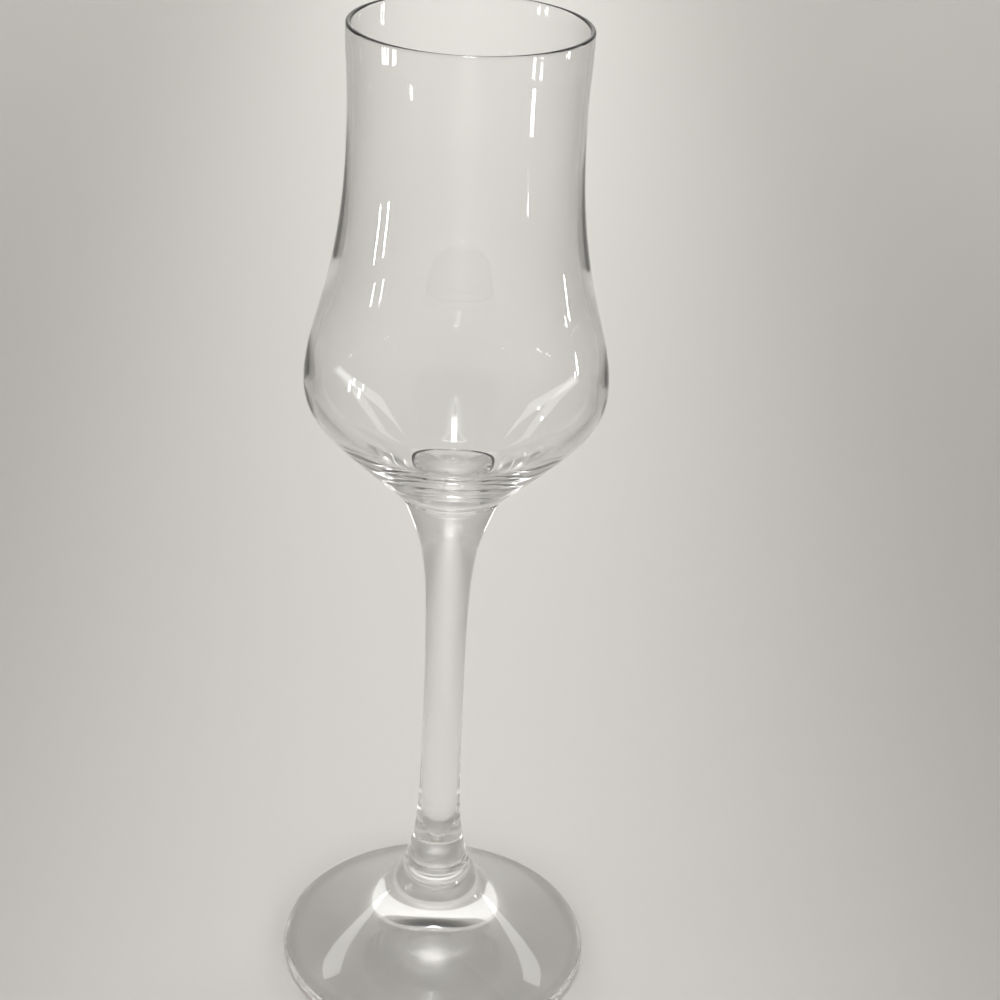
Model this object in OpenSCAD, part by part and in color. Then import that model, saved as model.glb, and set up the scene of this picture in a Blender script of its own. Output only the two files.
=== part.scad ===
// Clear stemmed cordial glass in three pieces of one colourless glass: a blown bowl, a drawn stem and a
// pressed foot, fused face to face while hot. It stands on z = 0 with its axis on Z. Lengths are millimetres.

/* [Bowl] */
// Height of the bowl, from its joint with the stem to the rim
bowl_h = 81.3; // [74:0.1:100]
// Outside diameter at the rim
rim_d = 38.7; // [34:0.1:46]
// Thickness of the fire-polished rim
rim_wall = 0.9; // [0.7:0.1:1.6]
// Outside diameter at the waist, the narrowest part under the rim
waist_d = 37.9; // [32:0.1:44]
// Height of the waist above the joint with the stem
waist_rise = 66.5; // [52:0.1:70]
// Thickness of the wall at the waist
waist_wall = 0.9; // [0.7:0.1:2]
// Outside diameter at the belly, the widest part
belly_d = 51.1; // [44:0.1:60]
// Height of the belly above the joint with the stem
belly_rise = 21.5; // [18:0.1:30]
// Thickness of the wall at the belly
belly_wall = 1.6; // [1:0.1:3]
// Slope of the cone under the belly, up from the horizontal, in degrees
cone_slope = 43.5; // [35:0.5:50]
// Slope of the inside of the cone where it rounds into the bowl's floor, in degrees
inside_cone_slope = 34.5; // [28:0.5:42]
// Diameter of the inside there
inside_floor_d = 20; // [16:0.1:24]
// Thickness of the wall there, square to the cone
cone_wall = 3.2; // [2:0.1:4.5]
// Thickness of the glass between the bowl's floor and its joint with the stem, on the axis
heel_t = 3.2; // [2:0.1:4.5]

/* [Stem] */
// Length of the stem, from its joint with the foot to its joint with the bowl
stem_len = 77.2; // [50:0.1:110]
// Diameter of the stem at its narrowest
stem_d = 7.2; // [5:0.1:10]
// Height of the narrowest place above the joint with the foot
stem_narrow_rise = 34.7; // [25:0.1:45]
// Diameter of the fused joint between the stem and the bowl
bowl_joint_d = 17.4; // [12:0.1:22]
// Lean of the stem's outside where it meets the bowl, away from the axis, in degrees
bowl_joint_lean = 22; // [10:0.5:35]
// Diameter of the fused joint between the stem and the foot
foot_joint_d = 11.6; // [10.5:0.1:16]
// Lean of the outside where the stem meets the foot, away from the axis, in degrees
foot_joint_lean = 14; // [8:0.5:30]

/* [Foot] */
// Diameter of the foot
foot_d = 57.8; // [48:0.1:70]
// Height of the foot, from the table to its joint with the stem
foot_h = 21.5; // [15:0.1:30]
// Thickness of the foot's rounded edge
foot_edge_t = 2.4; // [1.6:0.1:3.5]
// Slope of the top of the foot just inside its edge, in degrees
foot_edge_slope = 16; // [8:0.5:24]
// Width of the flat ring that the foot stands on
foot_ring_w = 1.1; // [0.8:0.1:4]
// Depth of the hollow under the foot, on the axis
hollow_depth = 6; // [1:0.1:7]

/* [Hidden] */

// Facets round the axis, and straight steps along one curve or one rounded edge of an outline
$fn = 128;
curve_steps = 20;
edge_steps = 10;

// Clear glass, a little grey where it is thick
glass_colour = [0.86, 0.90, 0.90, 0.45];

// How far each curve keeps its end's direction, as a share of the height or width that it spans
cone_share = 0.9;
belly_low_share = 0.23;
belly_high_share = 0.215;
waist_low_share = 0.61;
waist_high_share = 0.46;
rim_share = 0.4;
inside_waist_share = 0.74;
inside_belly_high_share = 0.26;
inside_belly_low_share = 0.16;
inside_cone_share = 0.9;
inside_round_share = 0.3;
inside_floor_share = 0.35;
stem_top_share = 0.28;
stem_above_narrow_share = 0.68;
stem_below_narrow_share = 0.8;
stem_base_share = 0.19;
foot_post_share = 0.47;
foot_edge_share = 0.25;
hollow_roof_share = 0.3;
hollow_edge_share = 0.15;

// Radii of the outside, and of the inside of the bowl
rim_r = rim_d / 2;
waist_r = waist_d / 2;
belly_r = belly_d / 2;
stem_r = stem_d / 2;
bowl_joint_r = bowl_joint_d / 2;
foot_joint_r = foot_joint_d / 2;
foot_r = foot_d / 2;
inside_rim_r = rim_r - rim_wall;
inside_waist_r = waist_r - waist_wall;
inside_belly_r = belly_r - belly_wall;
inside_floor_r = inside_floor_d / 2;

// Round of the rim and of the foot's edge, and the hollow inside the ring
lip_r = rim_wall / 2;
lip_level = bowl_h - lip_r;
edge_r = foot_edge_t / 2;
hollow_r = foot_r - edge_r - foot_ring_w;

// Points of a curve from a to d after its start, which leaves a towards b and reaches d from c
function curve(a, b, c, d) = [
    for (i = [1:curve_steps])
        let (t = i / curve_steps, s = 1 - t)
            s * s * s * a + 3 * s * s * t * b + 3 * s * t * t * c + t * t * t * d
];

// Points of an arc after its start
function arc(centre, radius, start, end) = [
    for (i = [1:edge_steps])
        let (angle = start + (end - start) * i / edge_steps)
            centre + radius * [cos(angle), sin(angle)]
];

// Direction upwards that leans away from the axis, and direction inwards that slopes up
function leaning(lean) = [tan(lean), 1];
function sloping(slope) = [-1, tan(slope)];

// A curve that runs straight up or down at both ends
function upright_curve(start, end, start_share, end_share) =
    let (climb = [0, end.y - start.y])
        curve(start, start + start_share * climb, end - end_share * climb, end);

// A solid turned on the axis, standing at a level
module turned(outline, level) {
    color(glass_colour)
        translate([0, 0, level])
            rotate_extrude()
                polygon(outline);
}

// Blown bowl: a cone that rounds into the belly, draws in to the waist and opens a little at the rim,
// with the wall growing from the rim down to the heel
module bowl() {
    joint = [bowl_joint_r, 0];
    belly = [belly_r, belly_rise];
    waist = [waist_r, waist_rise];
    lip = [rim_r, lip_level];
    cone_handle = cone_share * (belly_r - bowl_joint_r) * [1, tan(cone_slope)];
    outside = concat(
        [joint],
        curve(joint, joint + cone_handle, belly - belly_low_share * [0, belly_rise], belly),
        upright_curve(belly, waist, belly_high_share, waist_low_share),
        upright_curve(waist, lip, waist_high_share, rim_share)
    );
    rim = arc([rim_r - lip_r, lip_level], lip_r, 0, 180);
    inside_lip = [inside_rim_r, lip_level];
    inside_waist = [inside_waist_r, waist_rise];
    inside_belly = [inside_belly_r, belly_rise];
    inside_turn_level = tan(cone_slope) * (inside_floor_r - bowl_joint_r) + cone_wall / cos(cone_slope);
    inside_turn = [inside_floor_r, inside_turn_level];
    inside_cone = [1, tan(inside_cone_slope)];
    inside_floor = [0, heel_t];
    inside = concat(
        upright_curve(inside_lip, inside_waist, rim_share, waist_high_share),
        upright_curve(inside_waist, inside_belly, inside_waist_share, inside_belly_high_share),
        curve(
            inside_belly,
            inside_belly - inside_belly_low_share * [0, belly_rise],
            inside_turn + inside_cone_share * (inside_belly_r - inside_floor_r) * inside_cone,
            inside_turn
        ),
        curve(
            inside_turn,
            inside_turn - inside_round_share * inside_floor_r * inside_cone,
            inside_floor + inside_floor_share * [inside_floor_r, 0],
            inside_floor
        )
    );
    turned(concat([[0, 0]], outside, rim, inside), foot_h + stem_len);
}

// Drawn stem: solid, slender, flaring at both ends to the joints with the foot and the bowl
module stem() {
    base = [foot_joint_r, 0];
    narrow = [stem_r, stem_narrow_rise];
    top = [bowl_joint_r, stem_len];
    above = stem_len - stem_narrow_rise;
    base_handle = stem_base_share * stem_narrow_rise * leaning(-foot_joint_lean);
    top_handle = stem_top_share * above * leaning(bowl_joint_lean);
    outside = concat(
        [base],
        curve(base, base + base_handle, narrow - stem_below_narrow_share * [0, stem_narrow_rise], narrow),
        curve(narrow, narrow + stem_above_narrow_share * [0, above], top - top_handle, top)
    );
    turned(concat([[0, 0]], outside, [[0, stem_len]]), foot_h);
}

// Pressed foot: a disc with a rounded edge that sweeps up to the stem, standing on a flat ring round
// a hollow nearly as wide as the disc
module foot() {
    roof = [0, hollow_depth];
    hollow_edge = [hollow_r, 0];
    edge_centre = [foot_r - edge_r, edge_r];
    post = [foot_joint_r, foot_h];
    edge_end = 90 - foot_edge_slope;
    edge_top = edge_centre + edge_r * [cos(edge_end), sin(edge_end)];
    hollow = curve(
        roof,
        roof + hollow_roof_share * [hollow_r, 0],
        hollow_edge - hollow_edge_share * [hollow_r, 0],
        hollow_edge
    );
    edge = arc(edge_centre, edge_r, -90, edge_end);
    top = curve(
        edge_top,
        edge_top + foot_edge_share * (edge_top.x - foot_joint_r) * sloping(foot_edge_slope),
        post - foot_post_share * (foot_h - edge_top.y) * leaning(-foot_joint_lean),
        post
    );
    turned(concat([roof], hollow, [[edge_centre.x, 0]], edge, top, [[0, foot_h]]), 0);
}

bowl();
stem();
foot();
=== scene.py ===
import math

import bpy
from mathutils import Matrix, Vector


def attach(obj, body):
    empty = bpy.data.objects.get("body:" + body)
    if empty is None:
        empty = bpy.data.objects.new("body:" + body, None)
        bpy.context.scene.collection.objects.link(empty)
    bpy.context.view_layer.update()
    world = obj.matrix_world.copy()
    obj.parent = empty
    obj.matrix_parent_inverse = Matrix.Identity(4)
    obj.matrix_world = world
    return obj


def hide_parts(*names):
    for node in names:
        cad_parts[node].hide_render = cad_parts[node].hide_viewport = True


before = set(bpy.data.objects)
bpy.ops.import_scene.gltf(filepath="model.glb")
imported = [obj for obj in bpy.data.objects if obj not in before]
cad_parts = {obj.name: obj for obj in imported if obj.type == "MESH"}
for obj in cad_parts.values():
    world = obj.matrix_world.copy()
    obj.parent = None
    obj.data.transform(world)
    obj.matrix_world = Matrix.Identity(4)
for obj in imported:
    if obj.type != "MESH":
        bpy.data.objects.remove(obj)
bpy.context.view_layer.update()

# Bowl: soda-lime glass blown in a turning mould, its rim melted smooth in a flame. The wall grows from
# 0.9 mm at the rim to 3.2 mm at the foot of the cone, and its underside is welded hot to the stem.
MM = 0.001
FACETS_ROUND = 192
STEPS_A_CURVE = 28
NO_SEAM = -1.0

stem_joint_level = 98.7
bowl_h = 81.3
rim_r = 19.35
rim_wall = 0.9
waist_r = 18.95
waist_rise = 66.5
waist_wall = 0.9
belly_r = 25.55
belly_rise = 21.5
belly_wall = 1.6
cone_slope = math.radians(43.5)
inside_cone_slope = math.radians(34.5)
inside_floor_r = 10
cone_wall = 3.2
heel_t = 3.2
stem_joint_r = 8.7

# How far each curve of the outline keeps its end's direction, as a share of the height or width that it spans
cone_share = 0.9
belly_low_share = 0.23
belly_high_share = 0.215
waist_low_share = 0.61
waist_high_share = 0.46
rim_share = 0.4
inside_waist_share = 0.74
inside_belly_high_share = 0.26
inside_belly_low_share = 0.16
inside_cone_share = 0.9
inside_round_share = 0.3
inside_floor_share = 0.35


def add(tree, kind, sockets=None, **settings):
    """A node of that kind in the tree, with its settings, and its sockets given values or links."""
    made = tree.nodes.new(kind)
    for name, value in settings.items():
        setattr(made, name, value)
    for socket, value in (sockets or {}).items():
        if isinstance(value, bpy.types.NodeSocket):
            tree.links.new(value, made.inputs[socket])
        else:
            made.inputs[socket].default_value = value
    return made


def linear(colour):
    """An sRGB hex colour as linear RGBA."""
    parts = [int(colour[i:i + 2], 16) / 255 for i in (1, 3, 5)]
    return [p / 12.92 if p <= 0.04045 else ((p + 0.055) / 1.055) ** 2.4 for p in parts] + [1.0]


# The lathe: an outline in the XZ plane turned about Z, welded where it meets the axis. Faces level with a
# seam are the welded joints.
lathe = bpy.data.node_groups.new("turned on the axis", "GeometryNodeTree")
for label, kind in (
    ("Outline", "NodeSocketGeometry"),
    ("Facets round", "NodeSocketInt"),
    ("Steps a curve", "NodeSocketInt"),
    ("Low seam", "NodeSocketFloat"),
    ("High seam", "NodeSocketFloat"),
    ("Glass", "NodeSocketMaterial"),
    ("Weld", "NodeSocketMaterial"),
):
    lathe.interface.new_socket(label, in_out="INPUT", socket_type=kind)
lathe.interface.new_socket("Turned", in_out="OUTPUT", socket_type="NodeSocketGeometry")
given = lathe.nodes.new("NodeGroupInput").outputs
place = add(lathe, "GeometryNodeInputPosition").outputs["Position"]
stepped = add(
    lathe, "GeometryNodeSetSplineResolution",
    {0: given["Outline"], "Resolution": given["Steps a curve"]},
)
outline = add(lathe, "GeometryNodeResampleCurve", {"Curve": stepped.outputs[0]}, mode="EVALUATED")
circle = add(
    lathe, "GeometryNodeCurvePrimitiveCircle", {"Resolution": given["Facets round"], "Radius": 1.0}
)
kept = []
for drawn in (outline.outputs[0], circle.outputs[0]):
    keeper = add(lathe, "GeometryNodeCaptureAttribute", {"Geometry": drawn})
    keeper.capture_items.new("VECTOR", "place")
    lathe.links.new(place, keeper.inputs["place"])
    kept.append(keeper.outputs)
swept = add(
    lathe, "GeometryNodeCurveToMesh", {"Curve": kept[1]["Geometry"], "Profile Curve": kept[0]["Geometry"]}
)
across = add(lathe, "ShaderNodeSeparateXYZ", {0: kept[0]["place"]}).outputs
spoke = add(lathe, "ShaderNodeVectorMath", {0: kept[1]["place"], "Scale": across["X"]}, operation="SCALE")
lift = add(lathe, "ShaderNodeCombineXYZ", {"Z": across["Z"]})
turned_place = add(lathe, "ShaderNodeVectorMath", {0: spoke.outputs[0], 1: lift.outputs[0]}, operation="ADD")
placed = add(
    lathe, "GeometryNodeSetPosition", {"Geometry": swept.outputs[0], "Position": turned_place.outputs[0]}
)
welded = add(lathe, "GeometryNodeMergeByDistance", {"Geometry": placed.outputs[0], "Distance": 0.002 * MM})
outward = add(lathe, "GeometryNodeFlipFaces", {"Mesh": welded.outputs[0]})
level = add(lathe, "ShaderNodeSeparateXYZ", {0: place}).outputs["Z"]
at_seam = [
    add(
        lathe, "FunctionNodeCompare", {"A": level, "B": given[seam], "Epsilon": 0.01 * MM},
        data_type="FLOAT", operation="EQUAL",
    ).outputs[0]
    for seam in ("Low seam", "High seam")
]
seam_face = add(lathe, "FunctionNodeBooleanMath", {0: at_seam[0], 1: at_seam[1]}, operation="OR").outputs[0]
skin_face = add(lathe, "FunctionNodeBooleanMath", {0: seam_face}, operation="NOT").outputs[0]
flat = add(
    lathe, "GeometryNodeSetShadeSmooth",
    {"Geometry": outward.outputs[0], "Selection": seam_face, "Shade Smooth": False},
)
smooth = add(
    lathe, "GeometryNodeSetShadeSmooth",
    {"Geometry": flat.outputs[0], "Selection": skin_face, "Shade Smooth": True},
)
real = add(lathe, "GeometryNodeRealizeInstances", {"Geometry": smooth.outputs[0]})
glazed = add(lathe, "GeometryNodeSetMaterial", {"Geometry": real.outputs[0], "Material": given["Glass"]})
finished = add(
    lathe, "GeometryNodeSetMaterial",
    {"Geometry": glazed.outputs[0], "Selection": seam_face, "Material": given["Weld"]},
)
add(lathe, "NodeGroupOutput", {0: finished.outputs[0]})


def turned(name, start, strokes, low_seam, high_seam, glass):
    """A piece turned from an outline in mm: its start, then strokes of (leave towards, arrive from, end)."""
    drawn = bpy.data.curves.new(name + "_outline", "CURVE")
    drawn.dimensions = "3D"
    spline = drawn.splines.new("BEZIER")
    spline.bezier_points.add(len(strokes))
    knots = [start] + [end for leave, arrive, end in strokes]
    leaves = [leave for leave, arrive, end in strokes] + [knots[-1]]
    arrives = [start] + [arrive for leave, arrive, end in strokes]
    for point, knot, leave, arrive in zip(spline.bezier_points, knots, leaves, arrives):
        point.handle_left_type = "VECTOR" if arrive == knot else "FREE"
        point.handle_right_type = "VECTOR" if leave == knot else "FREE"
        point.co = Vector((knot[0], 0, knot[1])) * MM
        point.handle_left = Vector((arrive[0], 0, arrive[1])) * MM
        point.handle_right = Vector((leave[0], 0, leave[1])) * MM
    holder = bpy.data.objects.new(name + "_outline", drawn)
    bpy.context.scene.collection.objects.link(holder)
    turning = holder.modifiers.new("turning", "NODES")
    turning.node_group = lathe
    wanted = {
        "Facets round": FACETS_ROUND,
        "Steps a curve": STEPS_A_CURVE,
        "Low seam": low_seam * MM,
        "High seam": high_seam * MM,
        "Glass": glass,
        "Weld": fused_weld,
    }
    for item in lathe.interface.items_tree:
        if item.in_out == "INPUT" and item.name in wanted:
            turning[item.identifier] = wanted[item.name]
    seen = holder.evaluated_get(bpy.context.evaluated_depsgraph_get())
    piece = bpy.data.objects.new(name, bpy.data.meshes.new_from_object(seen))
    bpy.context.scene.collection.objects.link(piece)
    bpy.data.objects.remove(holder)
    return piece


def line(start, end):
    """One straight stroke."""
    return [(start, end, end)]


def upright(start, end, start_share, end_share):
    """One stroke that runs straight up or down at both ends."""
    climb = end[1] - start[1]
    return [((start[0], start[1] + start_share * climb), (end[0], end[1] - end_share * climb), end)]


def round_edge(centre, radius, start, end):
    """Two strokes along an arc, between angles in degrees."""
    strokes = []
    sweep = math.radians(end - start) / 2
    reach = 4 / 3 * math.tan(sweep / 4) * radius
    for a in (math.radians(start), math.radians(start) + sweep):
        b = a + sweep
        p = (centre[0] + radius * math.cos(a), centre[1] + radius * math.sin(a))
        q = (centre[0] + radius * math.cos(b), centre[1] + radius * math.sin(b))
        leave = (p[0] - reach * math.sin(a), p[1] + reach * math.cos(a))
        arrive = (q[0] + reach * math.sin(b), q[1] - reach * math.cos(b))
        strokes.append((leave, arrive, q))
    return strokes


# Where two pieces were welded hot there is no surface left to see: light goes straight on.
fused_weld = bpy.data.materials.new("fused weld")
fused_weld.use_nodes = True
fused_weld.node_tree.nodes["Principled BSDF"].inputs["Alpha"].default_value = 0.0


def clear_glass(name):
    """Colourless fire-polished soda-lime glass: the material, its shader and its Object coordinates."""
    made = bpy.data.materials.new(name)
    made.use_nodes = True
    shader = made.node_tree.nodes["Principled BSDF"]
    shader.inputs["Base Color"].default_value = linear("#fdfdfd")
    shader.inputs["Transmission Weight"].default_value = 1.0
    shader.inputs["IOR"].default_value = 1.52
    return made, shader, add(made.node_tree, "ShaderNodeTexCoord").outputs["Object"]


# Blown in a mould, the wall is a little wavy, in long waves 9 mm wide, and it carries fine draw lines 1.6 mm
# apart that run up it, so a lamp's reflection is a streak with a soft, uneven edge. Wiping leaves a haze in
# patches 14 mm wide, too faint to see but where it catches a lamp.
wave_width = 9
wave_depth = 0.035
draw_line_gap = 1.6
draw_line_depth = 0.002
haze_width = 14
blown_glass, shader, place_on_bowl = clear_glass("blown soda-lime glass")
tree = blown_glass.node_tree
wave_place = add(tree, "ShaderNodeMapping", {"Vector": place_on_bowl, "Scale": (1, 1, 0.4)})
waves = add(
    tree, "ShaderNodeTexNoise",
    {"Vector": wave_place.outputs[0], "Scale": 1 / (wave_width * MM), "Detail": 0.0},
)
draw_place = add(tree, "ShaderNodeMapping", {"Vector": place_on_bowl, "Scale": (1, 1, 0.03)})
draw_lines = add(
    tree, "ShaderNodeTexNoise",
    {"Vector": draw_place.outputs[0], "Scale": 1 / (draw_line_gap * MM), "Detail": 1.0},
)
wavy = add(tree, "ShaderNodeBump", {"Height": waves.outputs[0], "Distance": wave_depth * MM})
lined = add(
    tree, "ShaderNodeBump",
    {"Height": draw_lines.outputs[0], "Distance": draw_line_depth * MM, "Normal": wavy.outputs[0]},
)
tree.links.new(lined.outputs[0], shader.inputs["Normal"])
haze = add(
    tree, "ShaderNodeTexNoise",
    {"Vector": place_on_bowl, "Scale": 1 / (haze_width * MM), "Detail": 3.0},
)
wiped = add(
    tree, "ShaderNodeMapRange",
    {"Value": haze.outputs[0], "From Min": 0.5, "From Max": 0.75, "To Min": 0.0, "To Max": 0.05},
)
tree.links.new(wiped.outputs[0], shader.inputs["Roughness"])

joint = (stem_joint_r, stem_joint_level)
belly = (belly_r, stem_joint_level + belly_rise)
waist = (waist_r, stem_joint_level + waist_rise)
lip_level = stem_joint_level + bowl_h - rim_wall / 2
lip = (rim_r, lip_level)
cone_reach = cone_share * (belly_r - stem_joint_r)
cone_leave = (stem_joint_r + cone_reach, stem_joint_level + cone_reach * math.tan(cone_slope))
inside_lip = (rim_r - rim_wall, lip_level)
inside_waist = (waist_r - waist_wall, waist[1])
inside_belly = (belly_r - belly_wall, belly[1])
turn_rise = math.tan(cone_slope) * (inside_floor_r - stem_joint_r) + cone_wall / math.cos(cone_slope)
inside_turn = (inside_floor_r, stem_joint_level + turn_rise)
inside_floor = (0, stem_joint_level + heel_t)
inside_reach = inside_cone_share * (inside_belly[0] - inside_floor_r)
floor_reach = inside_round_share * inside_floor_r
inside_tilt = math.tan(inside_cone_slope)
bowl_strokes = (
    line((0, stem_joint_level), joint)
    + [(cone_leave, (belly_r, belly[1] - belly_low_share * belly_rise), belly)]
    + upright(belly, waist, belly_high_share, waist_low_share)
    + upright(waist, lip, waist_high_share, rim_share)
    + round_edge((rim_r - rim_wall / 2, lip_level), rim_wall / 2, 0, 180)
    + upright(inside_lip, inside_waist, rim_share, waist_high_share)
    + upright(inside_waist, inside_belly, inside_waist_share, inside_belly_high_share)
    + [
        (
            (inside_belly[0], inside_belly[1] - inside_belly_low_share * belly_rise),
            (inside_floor_r + inside_reach, inside_turn[1] + inside_reach * inside_tilt),
            inside_turn,
        ),
        (
            (inside_floor_r - floor_reach, inside_turn[1] - floor_reach * inside_tilt),
            (inside_floor_share * inside_floor_r, inside_floor[1]),
            inside_floor,
        ),
    ]
)
bowl = turned("blown_bowl", (0, stem_joint_level), bowl_strokes, stem_joint_level, NO_SEAM, blown_glass)
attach(bowl, "root")
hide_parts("bowl")

# Stem: a solid rod of the same glass, drawn out hot from under the bowl, slender in the middle and
# flaring to the welds at its two ends.
foot_joint_level = 21.5
foot_joint_r = 5.8
foot_joint_lean = math.tan(math.radians(14))
stem_r = 3.6
stem_narrow_rise = 34.7
bowl_joint_lean = math.tan(math.radians(22))
stem_base_share = 0.19
stem_below_narrow_share = 0.8
stem_above_narrow_share = 0.68
stem_top_share = 0.28

# Drawn out hot, the rod carries fine lines 1.2 mm apart along its length and swells and thins by a hair every
# 12 mm, so the light in its edges wavers. Fingers hold it there, and leave a faint film in patches 9 mm wide.
swell_width = 12
swell_depth = 0.05
pull_line_gap = 1.2
pull_line_depth = 0.002
film_width = 9
drawn_glass, shader, place_on_stem = clear_glass("drawn soda-lime glass")
tree = drawn_glass.node_tree
swells = add(
    tree, "ShaderNodeTexNoise",
    {"Vector": place_on_stem, "Scale": 1 / (swell_width * MM), "Detail": 0.0},
)
pull_place = add(tree, "ShaderNodeMapping", {"Vector": place_on_stem, "Scale": (1, 1, 0.04)})
pull_lines = add(
    tree, "ShaderNodeTexNoise",
    {"Vector": pull_place.outputs[0], "Scale": 1 / (pull_line_gap * MM), "Detail": 1.0},
)
swollen = add(tree, "ShaderNodeBump", {"Height": swells.outputs[0], "Distance": swell_depth * MM})
pulled = add(
    tree, "ShaderNodeBump",
    {"Height": pull_lines.outputs[0], "Distance": pull_line_depth * MM, "Normal": swollen.outputs[0]},
)
tree.links.new(pulled.outputs[0], shader.inputs["Normal"])
film = add(
    tree, "ShaderNodeTexNoise",
    {"Vector": place_on_stem, "Scale": 1 / (film_width * MM), "Detail": 3.0},
)
held = add(
    tree, "ShaderNodeMapRange",
    {"Value": film.outputs[0], "From Min": 0.5, "From Max": 0.75, "To Min": 0.0, "To Max": 0.06},
)
tree.links.new(held.outputs[0], shader.inputs["Roughness"])

narrow = (stem_r, foot_joint_level + stem_narrow_rise)
above = stem_joint_level - narrow[1]
base = (foot_joint_r, foot_joint_level)
base_reach = stem_base_share * stem_narrow_rise
top_reach = stem_top_share * above
stem_strokes = (
    line((0, foot_joint_level), base)
    + [
        (
            (foot_joint_r - base_reach * foot_joint_lean, foot_joint_level + base_reach),
            (stem_r, narrow[1] - stem_below_narrow_share * stem_narrow_rise),
            narrow,
        ),
        (
            (stem_r, narrow[1] + stem_above_narrow_share * above),
            (stem_joint_r - top_reach * bowl_joint_lean, stem_joint_level - top_reach),
            joint,
        ),
    ]
    + line(joint, (0, stem_joint_level))
)
stem = turned(
    "drawn_stem", (0, foot_joint_level), stem_strokes, foot_joint_level, stem_joint_level, drawn_glass
)
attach(stem, "root")
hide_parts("stem")

# Foot: a gather of the same glass pressed and spun into a disc that sweeps up to the stem. It stands on a
# narrow flat ring round a hollow 6 mm deep, and its edge is fire-polished round.
foot_r = 28.9
edge_r = 1.2
edge_slope_angle = 16
edge_slope = math.tan(math.radians(edge_slope_angle))
edge_end = 90 - edge_slope_angle
hollow_r = 26.6
hollow_depth = 6
hollow_roof_share = 0.3
hollow_edge_share = 0.15
foot_edge_share = 0.25
foot_post_share = 0.47

# Spun while soft, the disc keeps shallow rings 4 mm apart, which bend what is seen through it, and hands
# leave smears 11 mm wide. It slides about on tables, so the ring that it stands on is scuffed grey, in
# scratches drawn 0.4 mm wide so that they show.
spun_ring_gap = 4
spun_ring_depth = 0.004
scratch_width = 0.4
smear_width = 11
pressed_glass, shader, place_on_foot = clear_glass("pressed soda-lime glass")
tree = pressed_glass.node_tree
# The wave texture turns through 20 radians a metre at a scale of 1, and a ring is one full turn
ONE_RING_A_METRE = 2 * math.pi / 20
spun_rings = add(
    tree, "ShaderNodeTexWave",
    {
        "Vector": place_on_foot,
        "Scale": ONE_RING_A_METRE / (spun_ring_gap * MM),
        "Distortion": 2.0,
        "Detail": 1.0,
    },
    wave_type="RINGS", rings_direction="Z",
)
ringed = add(tree, "ShaderNodeBump", {"Height": spun_rings.outputs["Fac"], "Distance": spun_ring_depth * MM})
tree.links.new(ringed.outputs[0], shader.inputs["Normal"])
foot_level = add(tree, "ShaderNodeSeparateXYZ", {0: place_on_foot}).outputs["Z"]
standing = add(
    tree, "ShaderNodeMapRange",
    {"Value": foot_level, "From Min": 0.02 * MM, "From Max": 0.15 * MM, "To Min": 1.0, "To Max": 0.0},
)
scratches = add(
    tree, "ShaderNodeTexNoise",
    {"Vector": place_on_foot, "Scale": 1 / (scratch_width * MM), "Detail": 2.0, "Distortion": 3.0},
)
scuffed = add(
    tree, "ShaderNodeMapRange",
    {"Value": scratches.outputs[0], "From Min": 0.4, "From Max": 0.65, "To Min": 0.06, "To Max": 0.3},
)
smear = add(
    tree, "ShaderNodeTexNoise",
    {"Vector": place_on_foot, "Scale": 1 / (smear_width * MM), "Detail": 3.0},
)
touched = add(
    tree, "ShaderNodeMapRange",
    {"Value": smear.outputs[0], "From Min": 0.5, "From Max": 0.75, "To Min": 0.0, "To Max": 0.06},
)
foot_gloss = add(
    tree, "ShaderNodeMix",
    {"Factor": standing.outputs[0], "A": touched.outputs[0], "B": scuffed.outputs[0]},
)
tree.links.new(foot_gloss.outputs[0], shader.inputs["Roughness"])

edge_centre = (foot_r - edge_r, edge_r)
edge_top = (
    edge_centre[0] + edge_r * math.cos(math.radians(edge_end)),
    edge_centre[1] + edge_r * math.sin(math.radians(edge_end)),
)
sweep_reach = foot_edge_share * (edge_top[0] - foot_joint_r)
post_reach = foot_post_share * (foot_joint_level - edge_top[1])
foot_strokes = (
    [((hollow_roof_share * hollow_r, hollow_depth), ((1 - hollow_edge_share) * hollow_r, 0), (hollow_r, 0))]
    + line((hollow_r, 0), (edge_centre[0], 0))
    + round_edge(edge_centre, edge_r, -90, edge_end)
    + [
        (
            (edge_top[0] - sweep_reach, edge_top[1] + sweep_reach * edge_slope),
            (foot_joint_r + post_reach * foot_joint_lean, foot_joint_level - post_reach),
            base,
        ),
    ]
    + line(base, (0, foot_joint_level))
)
foot = turned("pressed_foot", (0, hollow_depth), foot_strokes, NO_SEAM, foot_joint_level, pressed_glass)
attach(foot, "root")
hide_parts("foot")

# Stage: a pale floor that sweeps up into a wall all round, under soft lamps, and the camera where the
# photograph was taken from. The floor is a hair under the glass, as any table is but for a few points.
floor_level = -0.1
floor_flat_r = 700
wall_r = 1200
wall_foot = 500
wall_curve = 280
wall_top = 2200
pale_floor = bpy.data.materials.new("pale matt paper")
pale_floor.use_nodes = True
pale_floor.node_tree.nodes["Principled BSDF"].inputs["Base Color"].default_value = linear("#dcdad6")
pale_floor.node_tree.nodes["Principled BSDF"].inputs["Roughness"].default_value = 0.9
floor_strokes = (
    line((0, floor_level), (floor_flat_r, floor_level))
    + [((floor_flat_r + wall_curve, floor_level), (wall_r, wall_foot - wall_curve), (wall_r, wall_foot))]
    + line((wall_r, wall_foot), (wall_r, wall_top))
)
floor = turned("floor", (0, floor_level), floor_strokes, NO_SEAM, NO_SEAM, pale_floor)

world = bpy.data.worlds.new("studio")
bpy.context.scene.world = world
world.use_nodes = True
world.node_tree.nodes["Background"].inputs["Color"].default_value = linear("#606060")
world.node_tree.nodes["Background"].inputs["Strength"].default_value = 1.0


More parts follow.
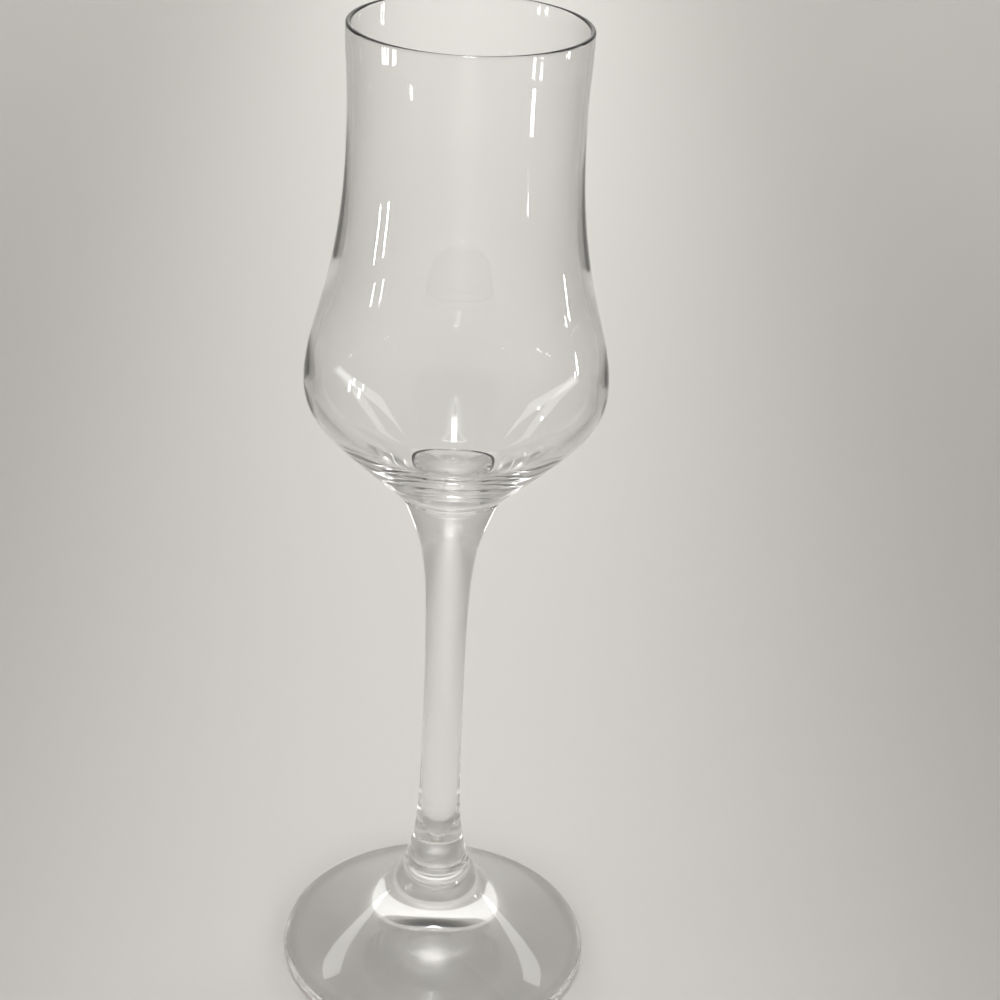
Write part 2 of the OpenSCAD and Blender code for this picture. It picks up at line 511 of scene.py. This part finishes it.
def lamp(name, place, aim, width, height, power, spread):
    """A soft box at a place, aimed at a point, in metres and watts, with the full angle of its beam."""
    light = bpy.data.lights.new(name, "AREA")
    light.shape = "RECTANGLE"
    light.size = width
    light.size_y = height
    light.energy = power
    light.spread = math.radians(spread)
    box = bpy.data.objects.new(name, light)
    bpy.context.scene.collection.objects.link(box)
    box.location = place
    box.rotation_euler = (Vector(aim) - Vector(place)).to_track_quat("-Z", "Y").to_euler()
    box.visible_camera = False


# The pool lights a lane of floor under and behind the glass and leaves its flanks darker, which draws the
# bowl's edges. The washes light the wall, the back box makes the pale patch in the foot, the side boxes line
# the bowl and foot, and the strips are small, for the streaks on the bowl.
lamp("pool", (0, 0.1, 1.0), (0, 0.1001, 0), 0.08, 2.2, 0.52, 18)
for name, turn in (("wall wash back", 0), ("wall wash right", 120), ("wall wash left", 240)):
    out_x = math.sin(math.radians(turn))
    out_y = math.cos(math.radians(turn))
    lamp(name, (0.3 * out_x, 0.3 * out_y, 1.7), (1.2 * out_x, 1.2 * out_y, 0.4), 0.6, 0.4, 3.1, 90)
lamp("back box", (0, 1.05, 0.62), (0, 0, 0.08), 1.0, 0.6, 0.58, 150)
lamp("left box", (-0.85, 0.45, 0.5), (0, 0, 0.08), 0.16, 0.9, 1.0, 150)
lamp("right box", (0.85, 0.45, 0.5), (0, 0, 0.08), 0.16, 0.9, 1.0, 150)
lamp("left strip a", (-0.30, -0.10, 0.093), (0, 0, 0.13), 0.009, 0.02, 0.01, 120)
lamp("left strip b", (-0.31, -0.05, 0.093), (0, 0, 0.13), 0.009, 0.02, 0.01, 120)
lamp("right strip a", (0.28, -0.143, 0.06), (0, 0, 0.13), 0.009, 0.012, 0.006, 120)
lamp("right strip b", (0.31, 0.054, 0.1), (0, 0, 0.13), 0.009, 0.012, 0.006, 120)

camera_back = 310.39 * MM
camera_height = 258.79 * MM
camera_pitch = math.radians(27.449)
camera_yaw = math.radians(1.547)
camera_roll = math.radians(3.086)
forward = Vector((
    math.sin(camera_yaw) * math.cos(camera_pitch),
    math.cos(camera_yaw) * math.cos(camera_pitch),
    -math.sin(camera_pitch),
))
level_right = Vector((math.cos(camera_yaw), -math.sin(camera_yaw), 0))
level_up = level_right.cross(forward)
right = math.cos(camera_roll) * level_right + math.sin(camera_roll) * level_up
up = math.cos(camera_roll) * level_up - math.sin(camera_roll) * level_right
camera = bpy.data.objects.new("camera", bpy.data.cameras.new("camera"))
camera.data.sensor_width = 36
camera.data.lens = 72.87
camera.data.clip_start = 0.01
camera.matrix_world = Matrix((
    (right.x, up.x, -forward.x, 0),
    (right.y, up.y, -forward.y, -camera_back),
    (right.z, up.z, -forward.z, camera_height),
    (0, 0, 0, 1),
))
bpy.context.scene.collection.objects.link(camera)
scene = bpy.context.scene
scene.camera = camera
scene.view_settings.view_transform = "Standard"

# Light goes to and fro in the heel, stem and foot many times before it leaves, and what passes through the
# glass lights the floor. The clamp keeps that light from sparkling.
light_bounces = 40
scene.cycles.max_bounces = light_bounces
scene.cycles.transmission_bounces = light_bounces
scene.cycles.glossy_bounces = light_bounces
scene.cycles.transparent_max_bounces = 32
scene.cycles.caustics_reflective = True
scene.cycles.caustics_refractive = True
scene.cycles.blur_glossy = 0.0
scene.cycles.sample_clamp_indirect = 20.0
